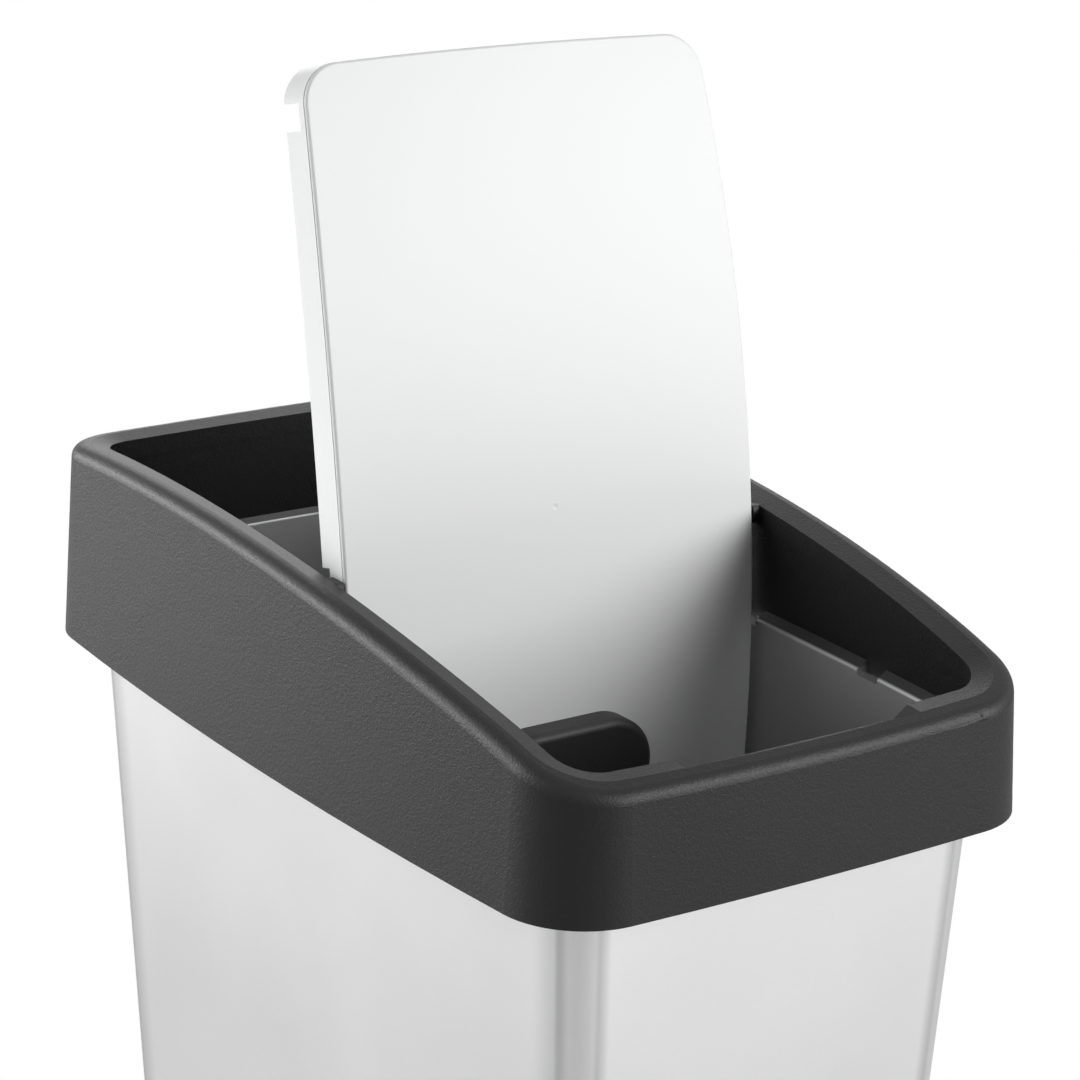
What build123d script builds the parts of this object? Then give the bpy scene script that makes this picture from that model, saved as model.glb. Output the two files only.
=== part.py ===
from build123d import *
import math
import os

# Rectangular countertop bin with a swing lid that stands open.
# Frame: origin at the centre of the base, on the floor; +X across the bin, -Y to its front, +Z up.

# Body: driving sizes (mm)
seat_height = 286.0            # underside of the collar's skirt above the floor
body_side_gap = 14.4           # from the collar's lower edge in to the body, at the sides
body_end_gap = 11.8            # the same at the ends
body_taper = 0.047             # inward lean of each wall per mm of drop
body_side_bow = 5.4            # how far the long walls bulge at mid length
body_end_bow = 1.9
body_top_corner = 9.1
body_base_corner = 6.0
smallest_corner = 1.0          # inside the base, whatever the wall
body_wall = 1.6
floor_thickness = 2.4
base_recess = 2.0              # hollow under the floor, inside the standing ring
standing_ring = 9.0
base_edge_round = 2.0

# Body rim under the collar
rim_height = 25.0              # rim's top above the collar's lower edge
rim_thickness = 4.8
rim_slope_drop = 2.4           # the rim slopes down inward from the collar's wall
rim_lip_drop = 9.0
rim_lip_wall = 1.8
rim_round = 1.0                # between the slope and the body's inside
rim_clearance = 0.5            # between the rim's lip and the collar's skin
clip_notch_length = 9.6
clip_notch_depth = 3.8
clip_pitch = 79.0              # clips stand this far in front of and behind the middle
clip_clearance = 0.4

# Collar
collar_half_width = 87.5       # outside, at its lower edge
collar_half_length = 145.8
collar_draft = 0.05            # inward lean of the skin per mm of height
collar_side_bow = 6.4
collar_end_bow = 2.3
collar_corner = 24.7
collar_skin = 2.2
collar_band = 10.9             # from the skin's outside to the opening
collar_inner_wall = 2.0
collar_round = 4.2             # outer top edge
collar_top = 4.0               # material under the top band
band_fall = 1.9                # the band slopes down towards the opening
band_flat = 0.4                # level part of the band beside the round edge
throat_strip = 8.0             # upper strip of the opening's wall
throat_step = 0.9              # the wall stands back below the strip
crown_y = 56.0                 # highest place of the rim line
crown_height = 64.1            # above the collar's lower edge
crown_radius = 737.0
nose_start_y = -105.0          # the rim line bends down more sharply from here forward
nose_radius = 280.0
hand_notch_floor = 66.0        # width of the front notch at its floor
hand_notch_top = 79.0
hand_notch_depth = 4.2
hand_notch_wall = 2.0          # material left under the notch
rib_thickness = 1.4
rib_rise = 2.0                 # ribs end this far above the body's rim
side_rib_places = (-112.0, -56.0, 22.0, 62.0, 106.0)
end_rib_places = (-36.0, 36.0)

# Pivot
pivot_y = -19.7
pivot_depth = 3.5              # pin centre below the lid's face
pin_radius = 1.8
pin_clearance = 0.06
pin_reach = 7.5                # out of the skirt into the collar
bearing_radius = 3.6
bearing_proud = 2.6            # out of the opening's wall towards the lid
bearing_length = 3.4           # behind the throat wall
pillar_width = 8.2
pillar_top = 0.7               # bearings and pillars end this far above the pin
pillar_foot = 3.0              # below the body's rim
pillar_slot_clearance = 1.0

# Lid
lid_crown_y = 49.2
lid_crown_drop = 1.4           # lid's crown below the rim's crown
lid_crown_radius = 678.0
lid_side_gap = 3.2
lid_front_gap = 0.5            # from the opening's end walls, at the pivot's height
lid_back_gap = 8.3
lid_side_bow = 4.4
lid_end_bow = 1.2
lid_corner = 12.0
cover_thickness = 1.5
cover_round = 0.8
seam_height = 0.5
seam_depth = 0.9
tray_floor = 1.6
skirt_depth = 12.0             # below the lid's face, at the back
skirt_front_depth = 8.2        # the same at the front
skirt_step_y = -14.5           # where the skirt turns shallow, just behind the pivot
skirt_wall = 1.8
tray_rib_depth = 3.5
tray_rib_wall = 1.4
tray_rib_xs = (-44.0, 0.0, 44.0)
tray_rib_ys = (-64.0, -18.0, 28.0, 76.0)
gate_y = -7.6                  # moulding gate's dimple on the face
gate_sphere = 3.0
gate_depth = 0.12
open_angle = 77.4

# Closing stop: lugs in the collar under notches in the skirt
lug_from_back = 14.7           # lug's middle from the lid's back end
lug_length = 6.5
lug_height = 5.0
lug_reach = 4.5                # in from the throat wall
lug_notch_clearance = 0.6
lug_ceiling = 4.1              # notch's ceiling below the lid's face
lug_gap = 0.3

# Grip on the lid's front
grip_half_width = 28.4
grip_run = 53.7                # front to back, seen from above
grip_from_front = 7.6          # from the lid's front end
grip_corner = 16.0
grip_back_height = 8.0
grip_front_height = 3.5
grip_round = 2.4
grip_wall = 2.2
peg_radius = 2.0
peg_head_radius = 2.7
peg_head_height = 1.6
peg_clearance = 0.15
peg_head_gap = 0.02            # under the tray
peg_spacing = 30.0

# Derived places and heights
body_half_width = collar_half_width - body_side_gap
body_half_length = collar_half_length - body_end_gap
collar_top_z = seat_height + crown_height
rim_z = seat_height + rim_height
crown_centre_z = collar_top_z - crown_radius
nose_lean = math.asin((crown_y - nose_start_y) / crown_radius)
nose_centre_y = nose_start_y + nose_radius * math.sin(nose_lean)
nose_centre_z = crown_centre_z + (crown_radius - nose_radius) * math.cos(nose_lean)
lid_centre_z = collar_top_z - lid_crown_drop - lid_crown_radius
pin_lean = math.asin((pivot_y - lid_crown_y) / (lid_crown_radius - pivot_depth))
pivot_z = lid_centre_z + (lid_crown_radius - pivot_depth) * math.cos(pin_lean)
pivot_axis = Axis((0, pivot_y, pivot_z), (1, 0, 0))
throat_end_y = collar_half_length - collar_band - collar_draft * (pivot_z - seat_height)
lid_front_y = lid_front_gap - throat_end_y
lid_back_y = throat_end_y - lid_back_gap
lug_y = lid_back_y - lug_from_back
grip_front_y = lid_front_y + grip_from_front
grip_back_y = grip_front_y + grip_run
lip_inset = collar_skin + rim_clearance
hollow_inset = collar_band - throat_step - collar_inner_wall
cut_margin = 4.0               # cutting tools run this far past the piece
cut_width = 2 * (collar_half_length + cut_margin)
rim_slot_x = collar_half_width - collar_draft * rim_height - hollow_inset
tray_depth = cover_thickness + tray_floor
grip_middle_y = (grip_back_y + grip_front_y) / 2
grip_lean = math.asin((grip_middle_y - lid_crown_y) / lid_crown_radius)
grip_length = (grip_back_y - grip_front_y) / math.cos(grip_lean)


def outline(height, half_width, half_length, corner, side_bow, end_bow, centre_y=0.0):
    """Rectangle with gently bowed sides and round corners, drawn at a height."""
    corner_x = half_width - side_bow
    corner_y = half_length - end_bow
    with BuildSketch(Plane.XY.offset(height)) as plan:
        with BuildLine(Location((0, centre_y))):
            ThreePointArc((corner_x, -corner_y), (half_width, 0), (corner_x, corner_y))
            ThreePointArc((corner_x, corner_y), (0, half_length), (-corner_x, corner_y))
            ThreePointArc((-corner_x, corner_y), (-half_width, 0), (-corner_x, -corner_y))
            ThreePointArc((-corner_x, -corner_y), (0, -half_length), (corner_x, -corner_y))
        make_face()
        fillet(plan.vertices(), corner)
    return plan.sketch


def collar_outline(height, inset):
    """Collar's outer form at a height, moved inward by an inset."""
    lean = inset + collar_draft * (height - seat_height)
    return outline(height, collar_half_width - lean, collar_half_length - lean, collar_corner - lean,
                   collar_side_bow, collar_end_bow)


def body_outline(height, inset):
    """Body's outer form at a height, moved inward by an inset."""
    drop = seat_height - height
    corner_share = drop / seat_height
    corner = body_top_corner + (body_base_corner - body_top_corner) * corner_share
    lean = inset + body_taper * drop
    return outline(height, body_half_width - lean, body_half_length - lean,
                   max(corner - inset, smallest_corner), body_side_bow, body_end_bow)


def rim_line_z(y):
    """Height of the collar's rim line."""
    if y > nose_start_y:
        return crown_centre_z + math.sqrt(crown_radius ** 2 - (y - crown_y) ** 2)
    return nose_centre_z + math.sqrt(nose_radius ** 2 - (y - nose_centre_y) ** 2)


def above_rim_line(drop):
    """Everything above the collar's rim line, lowered by a drop, seen from the side."""
    with BuildSketch(Plane.YZ) as side:
        with BuildLine():
            back_y = collar_half_length + cut_margin
            back = (back_y, rim_line_z(back_y) - drop)
            nose = (nose_start_y, rim_line_z(nose_start_y) - drop)
            front = (-back_y, rim_line_z(-back_y) - drop)
            RadiusArc(back, nose, -crown_radius)
            RadiusArc(nose, front, -nose_radius)
            Polyline(front, (-back_y, collar_top_z + cut_margin), (back_y, collar_top_z + cut_margin), back)
        make_face()
    return side.sketch


def below_lid_face(depth):
    """Everything deeper than a depth below the closed lid's face, seen from the side."""
    with BuildSketch(Plane.YZ) as side:
        with Locations((lid_crown_y, lid_centre_z)):
            Circle(lid_crown_radius - depth)
    return side.sketch


def face_z(y, depth=0.0):
    """Height of the closed lid's face, or of a surface below it."""
    radius = lid_crown_radius - depth
    return lid_centre_z + math.sqrt(radius ** 2 - (y - lid_crown_y) ** 2)


def throat_x(height, y=0.0):
    """Half width of the opening's upper strip."""
    bow = collar_side_bow * (y / (collar_half_length - collar_end_bow)) ** 2
    return collar_half_width - collar_band - collar_draft * (height - seat_height) - bow


def lid_outline(inset):
    """Closed lid's plan, moved inward by an inset, well below the lid."""
    half_length = (lid_back_y - lid_front_y) / 2 - inset
    half_width = throat_x(pivot_z) - lid_side_gap - inset
    return outline(seat_height, half_width, half_length, lid_corner - inset, lid_side_bow,
                   lid_end_bow, (lid_back_y + lid_front_y) / 2)


def lid_layer(inset, depth):
    """Closed lid's plan, filled from the collar's lower edge up to a depth below the lid's face."""
    with BuildPart() as layer:
        extrude(lid_outline(inset), amount=collar_top_z - seat_height)
        extrude(below_lid_face(depth), amount=cut_width, both=True, mode=Mode.INTERSECT)
    return layer.part


# Middle of the collar's inner wall where the clips are
clip_x = throat_x(rim_z, clip_pitch) + throat_step + collar_inner_wall / 2

# Body: its inside, opening out over the rim's slope
with BuildPart() as body_inside:
    slope_foot_z = rim_z - rim_slope_drop
    loft([body_outline(base_recess + floor_thickness, body_wall), body_outline(slope_foot_z, body_wall)],
         ruled=True)
    loft([body_outline(slope_foot_z, body_wall), collar_outline(rim_z, collar_band - throat_step)],
         ruled=True)
    foot_edges = body_inside.edges().filter_by_position(Axis.Z, slope_foot_z - rim_round,
                                                        slope_foot_z + rim_round)
    fillet(foot_edges, rim_round)

# Body: one tapered shell with a turned rim
with BuildPart() as body:
    loft([collar_outline(rim_z - rim_lip_drop, lip_inset), collar_outline(rim_z, lip_inset)], ruled=True)
    lip_inside = lip_inset + rim_lip_wall
    loft([collar_outline(rim_z - rim_lip_drop, lip_inside),
          collar_outline(rim_z - rim_thickness, lip_inside)], ruled=True, mode=Mode.SUBTRACT)
    loft([body_outline(0, 0), body_outline(rim_z, 0)], ruled=True)
    add(body_inside.part, mode=Mode.SUBTRACT)
    extrude(body_outline(0, standing_ring), amount=base_recess, mode=Mode.SUBTRACT)
    fillet(body.faces().sort_by(Axis.Z)[0].outer_wire().edges(), base_edge_round)
    inner_x = body_half_width - body_wall
    for side in (-1, 1):
        with Locations((side * inner_x, pivot_y, rim_z)):
            Box(2 * (rim_slot_x - inner_x), pillar_width + 2 * pillar_slot_clearance,
                2 * (pillar_foot + pillar_slot_clearance), mode=Mode.SUBTRACT)
        with Locations((side * inner_x, clip_pitch, rim_z), (side * inner_x, -clip_pitch, rim_z)):
            Box(2 * (clip_x + collar_inner_wall / 2 + clip_clearance - inner_x), clip_notch_length,
                2 * clip_notch_depth, mode=Mode.SUBTRACT)
body.part.label = "body"

# Collar: dip in the front rim where a hand reaches the grip
with BuildPart() as hand_notch:
    nose_front_y = -(collar_half_length - collar_draft * crown_height)
    dip_outer_y = nose_front_y + collar_round
    dip_inner_y = nose_front_y + collar_band
    dip_floor_z = rim_line_z(dip_inner_y) - band_fall - hand_notch_depth
    with BuildSketch(Plane.YZ):
        with BuildLine():
            Polyline((dip_outer_y, rim_line_z(dip_outer_y)), (dip_inner_y, dip_floor_z),
                     (dip_inner_y + cut_margin, dip_floor_z), (dip_inner_y + cut_margin, collar_top_z),
                     (dip_outer_y, collar_top_z), close=True)
        make_face()
    extrude(amount=collar_half_width, both=True)
    with BuildSketch(Plane.XZ):
        run = (hand_notch_top - hand_notch_floor) / 2
        rise = collar_top_z - dip_floor_z
        flare = run * rise / hand_notch_depth
        with BuildLine():
            Polyline((-hand_notch_floor / 2, dip_floor_z), (hand_notch_floor / 2, dip_floor_z),
                     (hand_notch_floor / 2 + flare, collar_top_z),
                     (-hand_notch_floor / 2 - flare, collar_top_z), close=True)
        make_face()
    extrude(amount=cut_width, both=True, mode=Mode.INTERSECT)

# Collar: the space between its skin and its inner wall, with the ribs left standing
with BuildPart() as collar_hollow:
    loft([collar_outline(rim_z, collar_skin), collar_outline(collar_top_z, collar_skin)], ruled=True)
    loft([collar_outline(rim_z, hollow_inset), collar_outline(collar_top_z, hollow_inset)], ruled=True,
         mode=Mode.SUBTRACT)
    extrude(above_rim_line(collar_top), amount=cut_width, both=True, mode=Mode.SUBTRACT)
    rib_height = crown_height - rim_height - rib_rise
    with Locations(*[(0, y, rim_z + rib_rise) for y in side_rib_places]):
        Box(cut_width, rib_thickness, rib_height, mode=Mode.SUBTRACT,
            align=(Align.CENTER, Align.CENTER, Align.MIN))
    with Locations(*[(x, 0, rim_z + rib_rise) for x in end_rib_places]):
        Box(rib_thickness, cut_width, rib_height, mode=Mode.SUBTRACT,
            align=(Align.CENTER, Align.CENTER, Align.MIN))
    with Locations((0, dip_outer_y, dip_floor_z - hand_notch_wall)):
        Box(hand_notch_top, 2 * collar_band, crown_height, mode=Mode.SUBTRACT,
            align=(Align.CENTER, Align.CENTER, Align.MIN))

# Collar: where the opening's wall stands back below its upper strip
with BuildPart() as throat_relief:
    relief_inset = collar_band - throat_step
    loft([collar_outline(rim_z, relief_inset), collar_outline(collar_top_z, relief_inset)], ruled=True)
    extrude(above_rim_line(throat_strip), amount=cut_width, both=True, mode=Mode.SUBTRACT)

# Collar: bearings with a flat top, proud of the opening's wall
pillar_top_z = pivot_z + pin_radius + pillar_top
bearing_face_x = throat_x(pivot_z, pivot_y) - bearing_proud
bearing_end_x = throat_x(pivot_z) + collar_inner_wall + bearing_length
with BuildPart() as bearings:
    with BuildSketch(Plane.YZ.offset(bearing_face_x)):
        with Locations((pivot_y, pivot_z)):
            Circle(bearing_radius)
    extrude(amount=bearing_end_x - bearing_face_x)
    with BuildSketch(Plane.YZ.offset(-bearing_face_x)):
        with Locations((pivot_y, pivot_z)):
            Circle(bearing_radius)
    extrude(amount=bearing_face_x - bearing_end_x)
    with Locations((0, pivot_y, pillar_top_z)):
        Box(cut_width, 2 * bearing_radius, bearing_radius, mode=Mode.SUBTRACT,
            align=(Align.CENTER, Align.CENTER, Align.MIN))

with BuildPart() as collar:
    loft([collar_outline(seat_height, 0), collar_outline(collar_top_z, 0)], ruled=True)
    extrude(above_rim_line(0), amount=cut_width, both=True, mode=Mode.SUBTRACT)
    crown_faces = collar.faces().filter_by(GeomType.CYLINDER).filter_by(
        lambda face: face.radius > cut_width / 2)
    fillet(crown_faces.edges().filter_by(GeomType.LINE, reverse=True), collar_round)
    loft([collar_outline(seat_height - cut_margin, collar_band),
          collar_outline(collar_top_z + cut_margin, collar_band)], ruled=True, mode=Mode.SUBTRACT)
    band_face = collar.faces().filter_by(GeomType.CYLINDER).sort_by(Axis.Y)[-1]
    band_middle_x = throat_x(collar_top_z) + (collar_band - collar_round) / 2
    band_middle_y = collar_half_length - collar_half_width + band_middle_x
    opening_edges = band_face.edges().filter_by(GeomType.LINE, reverse=True).filter_by(
        lambda edge: abs(edge.center().X) < band_middle_x and abs(edge.center().Y) < band_middle_y)
    chamfer(opening_edges, length=collar_band - collar_round - band_flat, length2=band_fall,
            reference=band_face)
    add(hand_notch.part, mode=Mode.SUBTRACT)
    add(throat_relief.part, mode=Mode.SUBTRACT)
    add(collar_hollow.part, mode=Mode.SUBTRACT)
    loft([collar_outline(seat_height, collar_skin), collar_outline(rim_z, collar_skin)], ruled=True,
         mode=Mode.SUBTRACT)
    add(bearings.part)
    for side in (-1, 1):
        # pillar behind the wall, from the bearing down to the rim
        with BuildSketch(Plane.XZ.offset(-pivot_y - pillar_width / 2)):
            foot_z = rim_z - pillar_foot
            outer_x = side * (rim_slot_x - pillar_slot_clearance)
            with BuildLine():
                Polyline((side * (throat_x(pillar_top_z) + throat_step), pillar_top_z),
                         (side * (throat_x(foot_z) + throat_step), foot_z),
                         (outer_x, foot_z), (outer_x, rim_z),
                         (side * (throat_x(pillar_top_z) + throat_step + collar_inner_wall), pillar_top_z),
                         close=True)
            make_face()
        extrude(amount=pillar_width)
        with BuildSketch(Plane(origin=(0, pivot_y, pivot_z), z_dir=(side, 0, 0))):
            Circle(pin_radius + pin_clearance)
        extrude(amount=bearing_end_x, mode=Mode.SUBTRACT)
        # closing stop
        lug_top_z = face_z(lug_y, lug_ceiling) - lug_gap
        lug_wall_x = throat_x(lug_top_z, lug_y)
        lug_depth = lug_reach + throat_step + collar_inner_wall / 2
        with Locations((side * (lug_wall_x - lug_reach + lug_depth / 2), lug_y, lug_top_z)):
            Box(lug_depth, lug_length, lug_height, align=(Align.CENTER, Align.CENTER, Align.MAX))
        # tabs that drop into the rim's notches
        tab_z = rim_z + collar_inner_wall
        with Locations((side * clip_x, -clip_pitch, tab_z), (side * clip_x, clip_pitch, tab_z)):
            Box(collar_inner_wall, clip_notch_length - 2 * clip_clearance,
                collar_inner_wall + clip_notch_depth, align=(Align.CENTER, Align.CENTER, Align.MAX))
collar.part.label = "collar"

# Lid, built closed. The grip's plane lies on the lid's face, with its Z out of the face.
lid_half_width = throat_x(pivot_z) - lid_side_gap
grip_plane = Plane(origin=(0, grip_middle_y, face_z(grip_middle_y)), x_dir=(1, 0, 0),
                   z_dir=(0, math.sin(grip_lean), math.cos(grip_lean)))
grip_side_plane = Plane(origin=grip_plane.origin, x_dir=grip_plane.y_dir, z_dir=grip_plane.x_dir)

with BuildPart() as peg_holes:
    with BuildSketch(grip_plane.offset(-tray_depth - cut_margin)):
        with GridLocations(peg_spacing, 0, 2, 1):
            Circle(peg_radius + peg_clearance)
    extrude(amount=tray_depth + 2 * cut_margin)

# Lid cover: domed plate with a round edge, and a seam above the tray
with BuildPart() as seam_ring:
    add(lid_layer(-cut_margin, cover_thickness - seam_height))
    add(lid_layer(seam_depth, cover_thickness - seam_height), mode=Mode.SUBTRACT)

with BuildPart() as lid_cover:
    add(lid_layer(0, 0))
    lid_face = lid_cover.faces().sort_by(Axis.Z)[-1]
    fillet(lid_face.edges(), cover_round)
    add(lid_layer(-cut_margin, cover_thickness), mode=Mode.SUBTRACT)
    add(seam_ring.part, mode=Mode.SUBTRACT)
    with Locations((0, gate_y, face_z(gate_y) + gate_sphere - gate_depth)):
        Sphere(gate_sphere, mode=Mode.SUBTRACT)
    add(peg_holes.part, mode=Mode.SUBTRACT)

# Lid tray: panel and skirt under the cover, with the pins
with BuildPart() as tray_ribs:
    rib_box_height = collar_top_z - seat_height
    with Locations(*[(x, 0, collar_top_z) for x in tray_rib_xs]):
        Box(tray_rib_wall, cut_width, rib_box_height, align=(Align.CENTER, Align.CENTER, Align.MAX))
    with Locations(*[(0, y, collar_top_z) for y in tray_rib_ys]):
        Box(cut_width, tray_rib_wall, rib_box_height, align=(Align.CENTER, Align.CENTER, Align.MAX))
    extrude(below_lid_face(tray_depth + tray_rib_depth), amount=cut_width, both=True, mode=Mode.SUBTRACT)

with BuildPart() as tray_pocket:
    add(lid_layer(skirt_wall, tray_depth))
    add(tray_ribs.part, mode=Mode.SUBTRACT)

with BuildPart() as lug_notches:
    for side in (-1, 1):
        with Locations((side * lid_half_width, lug_y, collar_top_z)):
            Box(2 * (skirt_wall + lug_reach), lug_length + 2 * lug_notch_clearance, crown_height,
                align=(Align.CENTER, Align.CENTER, Align.MAX))
    extrude(below_lid_face(lug_ceiling), amount=cut_width, both=True, mode=Mode.INTERSECT)

with BuildPart() as shallow_front:
    extrude(below_lid_face(skirt_front_depth), amount=cut_width, both=True)
    with Locations((0, skirt_step_y, collar_top_z)):
        Box(2 * cut_width, cut_width, crown_height, align=(Align.CENTER, Align.MAX, Align.MAX),
            mode=Mode.INTERSECT)

with BuildPart() as lid_tray:
    add(lid_layer(0, cover_thickness))
    add(lid_layer(-cut_margin, skirt_depth), mode=Mode.SUBTRACT)
    add(shallow_front.part, mode=Mode.SUBTRACT)
    add(tray_pocket.part, mode=Mode.SUBTRACT)
    add(lug_notches.part, mode=Mode.SUBTRACT)
    add(peg_holes.part, mode=Mode.SUBTRACT)
    for side in (-1, 1):
        with BuildSketch(Plane(origin=(side * (lid_half_width - seam_depth / 2), pivot_y, pivot_z),
                               z_dir=(side, 0, 0))):
            Circle(pin_radius)
        extrude(amount=pin_reach + seam_depth / 2)

# Grip: hollow wedge on the face, held by two headed pegs
with BuildPart() as grip_cavity:
    with BuildSketch(grip_plane.offset(-cut_margin)):
        RectangleRounded(2 * (grip_half_width - grip_wall), grip_length - 2 * grip_wall,
                         grip_corner - grip_wall)
    extrude(amount=cut_margin + grip_back_height)
    with BuildSketch(grip_side_plane):
        with BuildLine():
            Polyline((-grip_length / 2, -cut_margin), (grip_length / 2, -cut_margin),
                     (grip_length / 2, grip_back_height - grip_wall),
                     (-grip_length / 2, grip_front_height - grip_wall), close=True)
        make_face()
    extrude(amount=grip_half_width, both=True, mode=Mode.INTERSECT)

with BuildPart() as lid_grip:
    with BuildSketch(grip_plane.offset(-cut_margin)):
        RectangleRounded(2 * grip_half_width, grip_length, grip_corner)
    extrude(amount=cut_margin + grip_back_height)
    with BuildSketch(grip_side_plane):
        with BuildLine():
            Polyline((-grip_length / 2, -cut_margin), (grip_length / 2, -cut_margin),
                     (grip_length / 2, grip_back_height), (-grip_length / 2, grip_front_height), close=True)
        make_face()
    extrude(amount=grip_half_width, both=True, mode=Mode.INTERSECT)
    grip_top = lid_grip.faces().sort_by(Axis(grip_plane.origin, grip_plane.z_dir))[-1]
    fillet(grip_top.edges(), grip_round)
    extrude(below_lid_face(0), amount=cut_width, both=True, mode=Mode.SUBTRACT)
    add(grip_cavity.part, mode=Mode.SUBTRACT)
    peg_length = tray_depth + peg_head_gap + peg_head_height
    with BuildSketch(grip_plane.offset(-peg_length)):
        with GridLocations(peg_spacing, 0, 2, 1):
            Circle(peg_head_radius)
    extrude(amount=peg_head_height)
    with BuildSketch(grip_plane.offset(-peg_length)):
        with GridLocations(peg_spacing, 0, 2, 1):
            Circle(peg_radius)
    extrude(amount=peg_length + (grip_back_height + grip_front_height - grip_wall) / 2)

# The lid rests standing open
open_cover = lid_cover.part.rotate(pivot_axis, open_angle)
open_cover.label = "lid_cover"
open_tray = lid_tray.part.rotate(pivot_axis, open_angle)
open_tray.label = "lid_tray"
open_grip = lid_grip.part.rotate(pivot_axis, open_angle)
open_grip.label = "lid_grip"

os.makedirs("parts", exist_ok=True)
export_step(body.part, "parts/body.step")
export_step(collar.part, "parts/collar.step")
export_step(open_cover, "parts/lid_cover.step")
export_step(open_tray, "parts/lid_tray.step")
export_step(open_grip, "parts/lid_grip.step")
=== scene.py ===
"""Looks of a countertop waste bin with a swing lid: its finishes, its floor, its lights and its camera."""

import math

import bpy
from mathutils import Matrix, Vector


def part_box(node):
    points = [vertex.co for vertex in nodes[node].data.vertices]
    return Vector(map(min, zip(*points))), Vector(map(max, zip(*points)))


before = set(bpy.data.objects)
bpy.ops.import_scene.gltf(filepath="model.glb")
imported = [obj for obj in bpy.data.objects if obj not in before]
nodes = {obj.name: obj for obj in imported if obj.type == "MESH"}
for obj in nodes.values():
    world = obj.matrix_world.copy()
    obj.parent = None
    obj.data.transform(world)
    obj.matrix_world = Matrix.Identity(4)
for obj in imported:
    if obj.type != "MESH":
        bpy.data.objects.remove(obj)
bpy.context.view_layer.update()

# Main places, in metres
COLLAR_FOOT = Vector((0.0, 0.0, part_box("collar")[0].z))
BODY_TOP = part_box("body")[1].z


# ---------------------------------------------------------------------------------------------
# Shader maths
# ---------------------------------------------------------------------------------------------

class Value:
    """A shader socket that reads as a number in a Python expression."""

    def __init__(self, sheet, socket):
        self.sheet = sheet
        self.socket = socket

    def output(self, name):
        """Another output of the same node."""
        return Value(self.sheet, self.socket.node.outputs[name])

    def _maths(self, operation, *values):
        return self.sheet.add("ShaderNodeMath", {"operation": operation}, *values)

    def __add__(self, other):
        return self._maths("ADD", self, other)

    def __sub__(self, other):
        return self._maths("SUBTRACT", self, other)

    def __rsub__(self, other):
        return self._maths("SUBTRACT", other, self)

    def __mul__(self, other):
        return self._maths("MULTIPLY", self, other)

    __radd__ = __add__
    __rmul__ = __mul__

    def smallest(self, other):
        return self._maths("MINIMUM", self, other)

    def largest(self, other):
        return self._maths("MAXIMUM", self, other)

    def clamped(self):
        """Kept between 0 and 1."""
        return self.smallest(1.0).largest(0.0)

    def size(self):
        """Without its sign."""
        return self._maths("ABSOLUTE", self)


class Sheet:
    """A node sheet, of a material or of the world."""

    def __init__(self, owner, output_kind):
        owner.use_nodes = True
        self.tree = owner.node_tree
        self.tree.nodes.clear()
        self.surface = self.tree.nodes.new(output_kind).inputs["Surface"]

    def add(self, kind, settings=None, *values, **named):
        """Adds a node: its settings first, then what its open sockets hold, by order or by name."""
        node = self.tree.nodes.new(kind)
        for key, setting in (settings or {}).items():
            setattr(node, key, setting)
        open_inputs = [socket for socket in node.inputs if socket.enabled]
        for value, socket in zip(values, open_inputs):
            self.join(value, socket)
        for key, value in named.items():
            self.join(value, node.inputs[key.replace("_", " ")])
        return Value(self, next(socket for socket in node.outputs if socket.enabled))

    def join(self, value, socket):
        """Links another node's value to a socket, or sets a plain one on it."""
        if isinstance(value, Value):
            self.tree.links.new(value.socket, socket)
        else:
            socket.default_value = value

    def place(self):
        """The point on the piece, in the part's own frame."""
        return self.add("ShaderNodeTexCoord").output("Object")

    def facing_out(self, point):
        """How far the surface faces away from the upright axis: below 0 on an inside face."""
        normal = self.add("ShaderNodeTexCoord").output("Normal")
        level = self.add("ShaderNodeVectorMath", {"operation": "MULTIPLY"}, point, (1.0, 1.0, 0.0))
        return self.add("ShaderNodeVectorMath", {"operation": "DOT_PRODUCT"}, normal, level)

    def axes(self, point):
        """A point's three coordinates, as numbers."""
        split = self.add("ShaderNodeSeparateXYZ", Vector=point)
        return [split.output(axis) for axis in "XYZ"]

    def from_foot(self, point):
        """Distance from the middle of the bin's foot."""
        return self.add("ShaderNodeVectorMath", {"operation": "LENGTH"}, point)

    def noise(self, point, scale, detail, roughness=0.5):
        return self.add("ShaderNodeTexNoise", Vector=point, Scale=scale, Detail=detail, Roughness=roughness)

    def fade(self, value, low, high):
        """0 at low, 1 at high, and smooth between them."""
        return self.add("ShaderNodeMapRange", {"interpolation_type": "SMOOTHSTEP"}, value, low, high)

    def stripe(self, value, start, middle, end):
        """1 in the middle, and smoothly down to 0 at the start and at the end."""
        return self.fade(value, start, middle) * self.fade(value, end, middle)

    def mixed(self, share, first, second):
        """One colour turning into another."""
        return self.add("ShaderNodeMix", {"data_type": "RGBA"}, share, first, second)

    def blended(self, share, first, second):
        """One shader turning into another."""
        return self.add("ShaderNodeMixShader", {}, share, first, second)

    def bump(self, height, distance, strength):
        """Raises the surface by a height, times a distance in metres."""
        return self.add("ShaderNodeBump", Height=height, Distance=distance, Strength=strength)


class Finish(Sheet):
    """One material's node sheet."""

    def __init__(self, name):
        self.material = bpy.data.materials.new(name)
        super().__init__(self.material, "ShaderNodeOutputMaterial")

    def plastic(self, color, roughness, normal, ior=1.5, metallic=0.0):
        """Closes the sheet with a moulded plastic."""
        shader = self.add("ShaderNodeBsdfPrincipled", Base_Color=color, Roughness=roughness,
                          Normal=normal, IOR=ior, Metallic=metallic)
        self.join(shader, self.surface)
        return self.material


def grey(level):
    return (level, level, level, 1.0)


# ---------------------------------------------------------------------------------------------
# Finishes
# ---------------------------------------------------------------------------------------------

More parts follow.
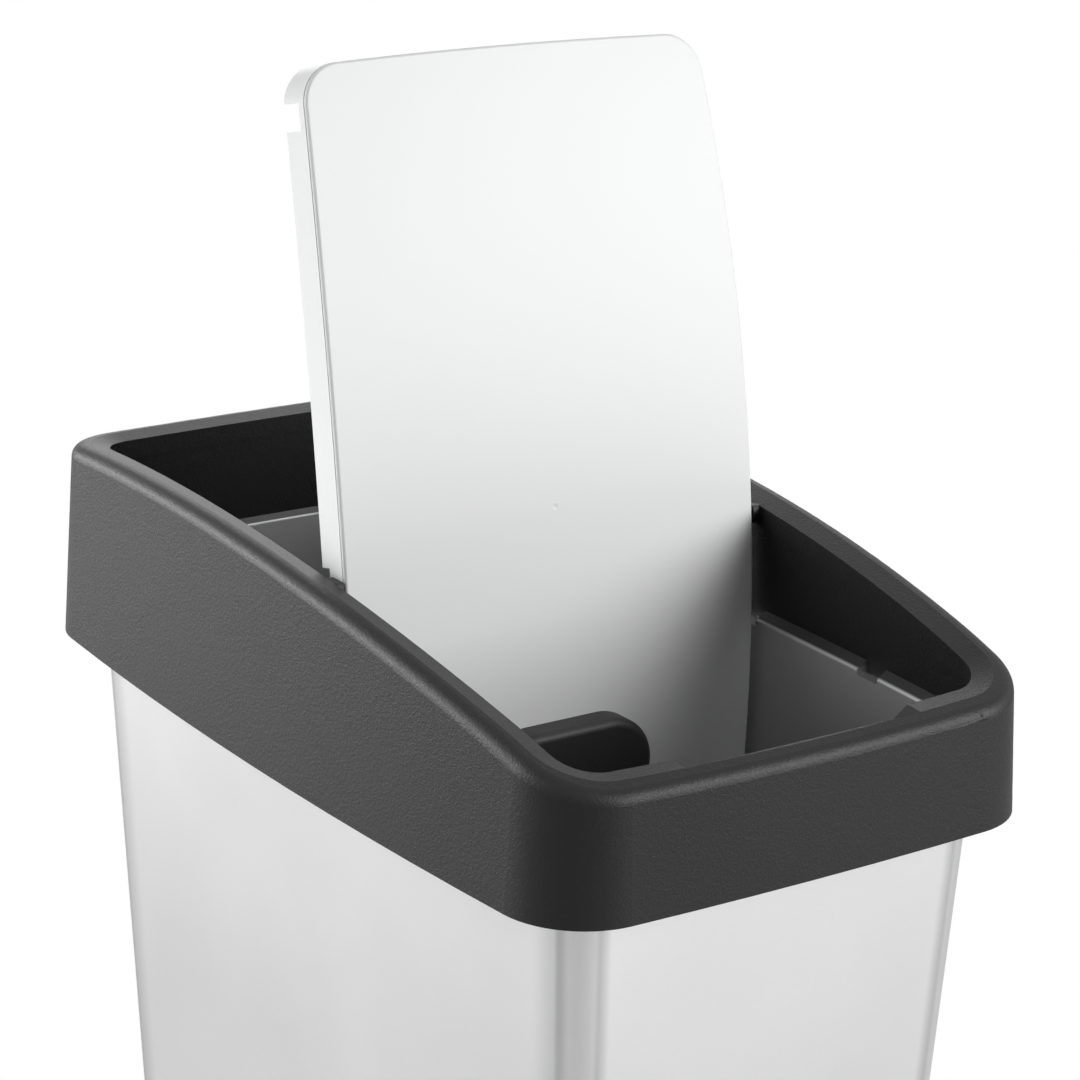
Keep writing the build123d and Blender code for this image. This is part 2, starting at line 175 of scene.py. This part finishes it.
SILVER_DARK = (0.41, 0.42, 0.412, 1.0)
SILVER_LIGHT = (0.93, 0.935, 0.93, 1.0)
# Painted shade: the inside faces take this darker silver.
SILVER_INSIDE_PAINTED_SHADE = (0.43, 0.435, 0.43, 1.0)
# Painted shade: the rim's slope is coloured near black.
RIM_SLOPE_PAINTED_SHADE = grey(0.045)
SILVER_METALLIC = 0.92

# The body's round corners: where their centres stand at the floor, and how far they move out per
# metre of height
CORNER_X = 0.04826
CORNER_Y = 0.11266
CORNER_SPREAD = 0.03616
CORNER_EDGE = 0.002            # the corner's shade comes in over this length

# The painted shade lines beside a corner, on the long side and on the end: where each starts, is darkest
# and stops, counted outwards from the corner's centre
SIDE_SHADE_LINE = (-0.010, 0.0024, 0.0056)
END_SHADE_LINE = (-0.0025, 0.0006, 0.0030)
SHADE_LINE_EDGE = 0.003

# How much of the light silver each painted shade takes away
CORNER_PAINTED_SHADE = 0.32
SIDE_LINE_PAINTED_SHADE = 0.50
END_LINE_PAINTED_SHADE = 0.46

INSIDE_EDGE = 0.002            # the facing over which the outside turns into the inside
RIM_SLOPE_HEIGHT = 0.0023      # the slope's painted shade ends this far below the rim's top
RIM_SLOPE_EDGE = 0.0006


def body_plastic():
    """Silver metal-effect plastic: fine flake, with painted shade on the corners, in lines where the walls
    turn into the corners, on the inside faces and on the rim's slope.
    """
    sheet = Finish("body_silver_plastic")
    point = sheet.place()
    x, y, z = sheet.axes(point)
    cloud = sheet.noise(point, scale=7.0, detail=3.0)
    flake = sheet.noise(point, scale=2600.0, detail=1.0)
    past_side = y.size() - (CORNER_Y + CORNER_SPREAD * z)
    past_end = x.size() - (CORNER_X + CORNER_SPREAD * z)
    # Painted shade: the corners and a thin line on each side of them are darkened in the colour.
    corner = sheet.fade(past_side, 0.0, CORNER_EDGE) * sheet.fade(past_end, 0.0, CORNER_EDGE)
    side_shade_line = sheet.stripe(past_side, *SIDE_SHADE_LINE) * sheet.fade(past_end, 0.0, SHADE_LINE_EDGE)
    end_shade_line = sheet.stripe(past_end, *END_SHADE_LINE) * sheet.fade(past_side, 0.0, SHADE_LINE_EDGE)
    kept_after_painted_shade = 1.0 - CORNER_PAINTED_SHADE * corner - SIDE_LINE_PAINTED_SHADE * side_shade_line - END_LINE_PAINTED_SHADE * end_shade_line
    shade = (0.55 + 0.55 * cloud) * kept_after_painted_shade + 0.10 * (flake - 0.5)
    silver = sheet.mixed(shade.clamped(), SILVER_DARK, SILVER_LIGHT)
    inside = sheet.fade(sheet.facing_out(point), INSIDE_EDGE, -INSIDE_EDGE)
    # Painted shade: the rim's slope above its foot is coloured near black.
    slope_foot = BODY_TOP - RIM_SLOPE_HEIGHT
    slope_shade_mask = sheet.fade(z, slope_foot, slope_foot + RIM_SLOPE_EDGE)
    # Painted shade: the inside faces are coloured a darker silver.
    silver_with_inside_shade = sheet.mixed(inside, silver, SILVER_INSIDE_PAINTED_SHADE)
    color = sheet.mixed(inside * slope_shade_mask, silver_with_inside_shade, RIM_SLOPE_PAINTED_SHADE)
    roughness = 0.33 + 0.06 * flake + 0.10 * inside
    normal = sheet.bump(flake, distance=0.00002, strength=0.5)
    return sheet.plastic(color, roughness, normal, metallic=SILVER_METALLIC)


CHARCOAL_DARK = grey(0.0045)
CHARCOAL_LIGHT = grey(0.0085)
CHARCOAL_IOR = 1.4             # a little less shine than the other mouldings


def collar_plastic():
    """Charcoal plastic with an eroded grain that breaks up the light."""
    sheet = Finish("collar_charcoal_plastic")
    point = sheet.place()
    cloud = sheet.noise(point, scale=14.0, detail=3.0)
    coarse = sheet.noise(point, scale=1100.0, detail=2.0, roughness=0.6)
    fine = sheet.noise(point, scale=2600.0, detail=1.0)
    grain = 0.6 * coarse + 0.4 * fine
    color = sheet.mixed(0.5 * cloud + 0.5 * coarse, CHARCOAL_DARK, CHARCOAL_LIGHT)
    roughness = 0.38 + 0.18 * fine
    normal = sheet.bump(grain, distance=0.0003, strength=0.6)
    return sheet.plastic(color, roughness, normal, ior=CHARCOAL_IOR)


WHITE_DARK = (0.755, 0.765, 0.760, 1.0)
WHITE_LIGHT = (0.805, 0.815, 0.810, 1.0)


def lid_plastic():
    """Off-white satin plastic with a very fine grain."""
    sheet = Finish("lid_white_plastic")
    point = sheet.place()
    cloud = sheet.noise(point, scale=9.0, detail=3.0)
    grain = sheet.noise(point, scale=1900.0, detail=2.0)
    color = sheet.mixed(0.7 * cloud + 0.3 * grain, WHITE_DARK, WHITE_LIGHT)
    roughness = 0.36 + 0.08 * grain
    normal = sheet.bump(grain, distance=0.00003, strength=0.5)
    return sheet.plastic(color, roughness, normal)


BLACK_DARK = grey(0.016)
BLACK_LIGHT = grey(0.023)
BLACK_ROUGHNESS = 0.52


def grip_plastic():
    """Near-black matte plastic."""
    sheet = Finish("grip_black_plastic")
    point = sheet.place()
    coarse = sheet.noise(point, scale=1300.0, detail=2.0, roughness=0.6)
    color = sheet.mixed(coarse, BLACK_DARK, BLACK_LIGHT)
    normal = sheet.bump(coarse, distance=0.00012, strength=0.6)
    return sheet.plastic(color, BLACK_ROUGHNESS, normal)


def dress(node_names, material):
    for name in node_names:
        piece = nodes[name]
        piece.data.materials.clear()
        piece.data.materials.append(material)


# ---------------------------------------------------------------------------------------------
# Floor, lights and camera
# ---------------------------------------------------------------------------------------------

BACKGROUND_WHITE = grey(1.0)
FLOOR_COLOR = grey(0.66)
FLOOR_SIZE = 40.0
FLOOR_SHADOW_REACH = 0.19      # the floor takes the bin's shadow as far as this
FLOOR_WHITE_FROM = 0.33        # and shows plain white from here
FLOOR_GLOSS_SHARE = 0.22       # how much of the floor's white the bin's own gloss picks up
WORLD_GLOSS_SHARE = 0.80       # and how much of the world's
WORLD_LIGHT = 0.17


def shown_share(sheet, gloss_share):
    """1 where the camera looks straight at the background, and a share of it in a reflection."""
    path = sheet.add("ShaderNodeLightPath")
    seen = path.output("Is Camera Ray").largest(path.output("Is Transmission Ray"))
    return seen.largest(gloss_share * path.output("Is Glossy Ray"))


def make_floor():
    """A pale floor that keeps the bin's shadow near it and runs out into white."""
    sheet = Finish("pale_floor")
    far = sheet.fade(sheet.from_foot(sheet.place()), FLOOR_SHADOW_REACH, FLOOR_WHITE_FROM)
    plain = sheet.add("ShaderNodeBsdfDiffuse", Color=FLOOR_COLOR)
    white = sheet.add("ShaderNodeEmission", Color=BACKGROUND_WHITE, Strength=1.0)
    share = far * shown_share(sheet, FLOOR_GLOSS_SHARE)
    sheet.join(sheet.blended(share, plain, white), sheet.surface)
    bpy.ops.mesh.primitive_plane_add(size=FLOOR_SIZE)
    floor = bpy.context.object
    floor.name = "floor"
    floor.data.materials.append(sheet.material)


def make_world():
    """White where it is seen, and a dim even light on the object."""
    world = bpy.data.worlds.new("studio")
    bpy.context.scene.world = world
    sheet = Sheet(world, "ShaderNodeOutputWorld")
    dim = sheet.add("ShaderNodeBackground", Color=BACKGROUND_WHITE, Strength=WORLD_LIGHT)
    white = sheet.add("ShaderNodeBackground", Color=BACKGROUND_WHITE, Strength=1.0)
    share = shown_share(sheet, WORLD_GLOSS_SHARE)
    sheet.join(sheet.blended(share, dim, white), sheet.surface)


def softbox(name, azimuth, distance, height, width, tall, power, aim_height=0.34, spread=180.0):
    """A soft lamp beside the bin. Azimuth 0 is in front, and grows to the right."""
    turn = math.radians(azimuth)
    place = Vector((math.sin(turn) * distance, -math.cos(turn) * distance, height))
    facing = place - Vector((0.0, 0.0, aim_height))
    lamp = bpy.data.lights.new(name, "AREA")
    lamp.shape = "RECTANGLE"
    lamp.size = width
    lamp.size_y = tall
    lamp.energy = power
    lamp.spread = math.radians(spread)
    lamp_object = bpy.data.objects.new(name, lamp)
    lamp_object.location = place
    lamp_object.rotation_euler = facing.to_track_quat("Z", "Y").to_euler()
    lamp_object.visible_camera = False
    bpy.context.scene.collection.objects.link(lamp_object)


def make_lights():
    softbox("right_box", azimuth=35.0, distance=1.5, height=0.80, width=1.0, tall=1.0, power=22.5)
    softbox("left_box", azimuth=-120.0, distance=1.5, height=1.0, width=1.0, tall=1.0, power=16.5)
    softbox("left_low_box", azimuth=-143.5, distance=0.62, height=0.34, width=0.64, tall=0.26, power=0.85,
            aim_height=0.17, spread=59.0)
    softbox("back_box", azimuth=150.0, distance=1.5, height=0.85, width=1.0, tall=0.8, power=5.0)


CAMERA_AZIMUTH = math.radians(-34.745)
CAMERA_ELEVATION = math.radians(17.733)
CAMERA_ROLL = math.radians(1.432)

# From the middle of the collar's foot to the camera, along the camera's own axes
CAMERA_RIGHT = 0.00937
CAMERA_UP = 0.05019
CAMERA_BACK = 0.9649
NEAREST_SEEN = 0.01

# Both in pixels
IMAGE_WIDTH = 1080
FOCAL_LENGTH = 3250


def make_camera():
    back = Vector((math.sin(CAMERA_AZIMUTH) * math.cos(CAMERA_ELEVATION),
                   -math.cos(CAMERA_AZIMUTH) * math.cos(CAMERA_ELEVATION),
                   math.sin(CAMERA_ELEVATION)))
    level = Vector((math.cos(CAMERA_AZIMUTH), math.sin(CAMERA_AZIMUTH), 0.0))
    upright = back.cross(level)
    right = level * math.cos(CAMERA_ROLL) + upright * math.sin(CAMERA_ROLL)
    up = upright * math.cos(CAMERA_ROLL) - level * math.sin(CAMERA_ROLL)
    place = COLLAR_FOOT + CAMERA_RIGHT * right + CAMERA_UP * up + CAMERA_BACK * back
    lens = bpy.data.cameras.new("camera")
    lens.sensor_fit = "HORIZONTAL"
    lens.angle = 2 * math.atan(IMAGE_WIDTH / 2 / FOCAL_LENGTH)
    lens.clip_start = NEAREST_SEEN
    camera = bpy.data.objects.new("camera", lens)
    turn = Matrix((right, up, back)).transposed().to_4x4()
    camera.matrix_world = Matrix.Translation(place) @ turn
    bpy.context.scene.collection.objects.link(camera)
    bpy.context.scene.camera = camera


# ---------------------------------------------------------------------------------------------
# The scene
# ---------------------------------------------------------------------------------------------

make_camera()
dress(["body"], body_plastic())
dress(["collar"], collar_plastic())
dress(["lid_cover", "lid_tray"], lid_plastic())
dress(["lid_grip"], grip_plastic())
make_floor()
make_world()
make_lights()
bpy.context.scene.view_settings.view_transform = "Standard"
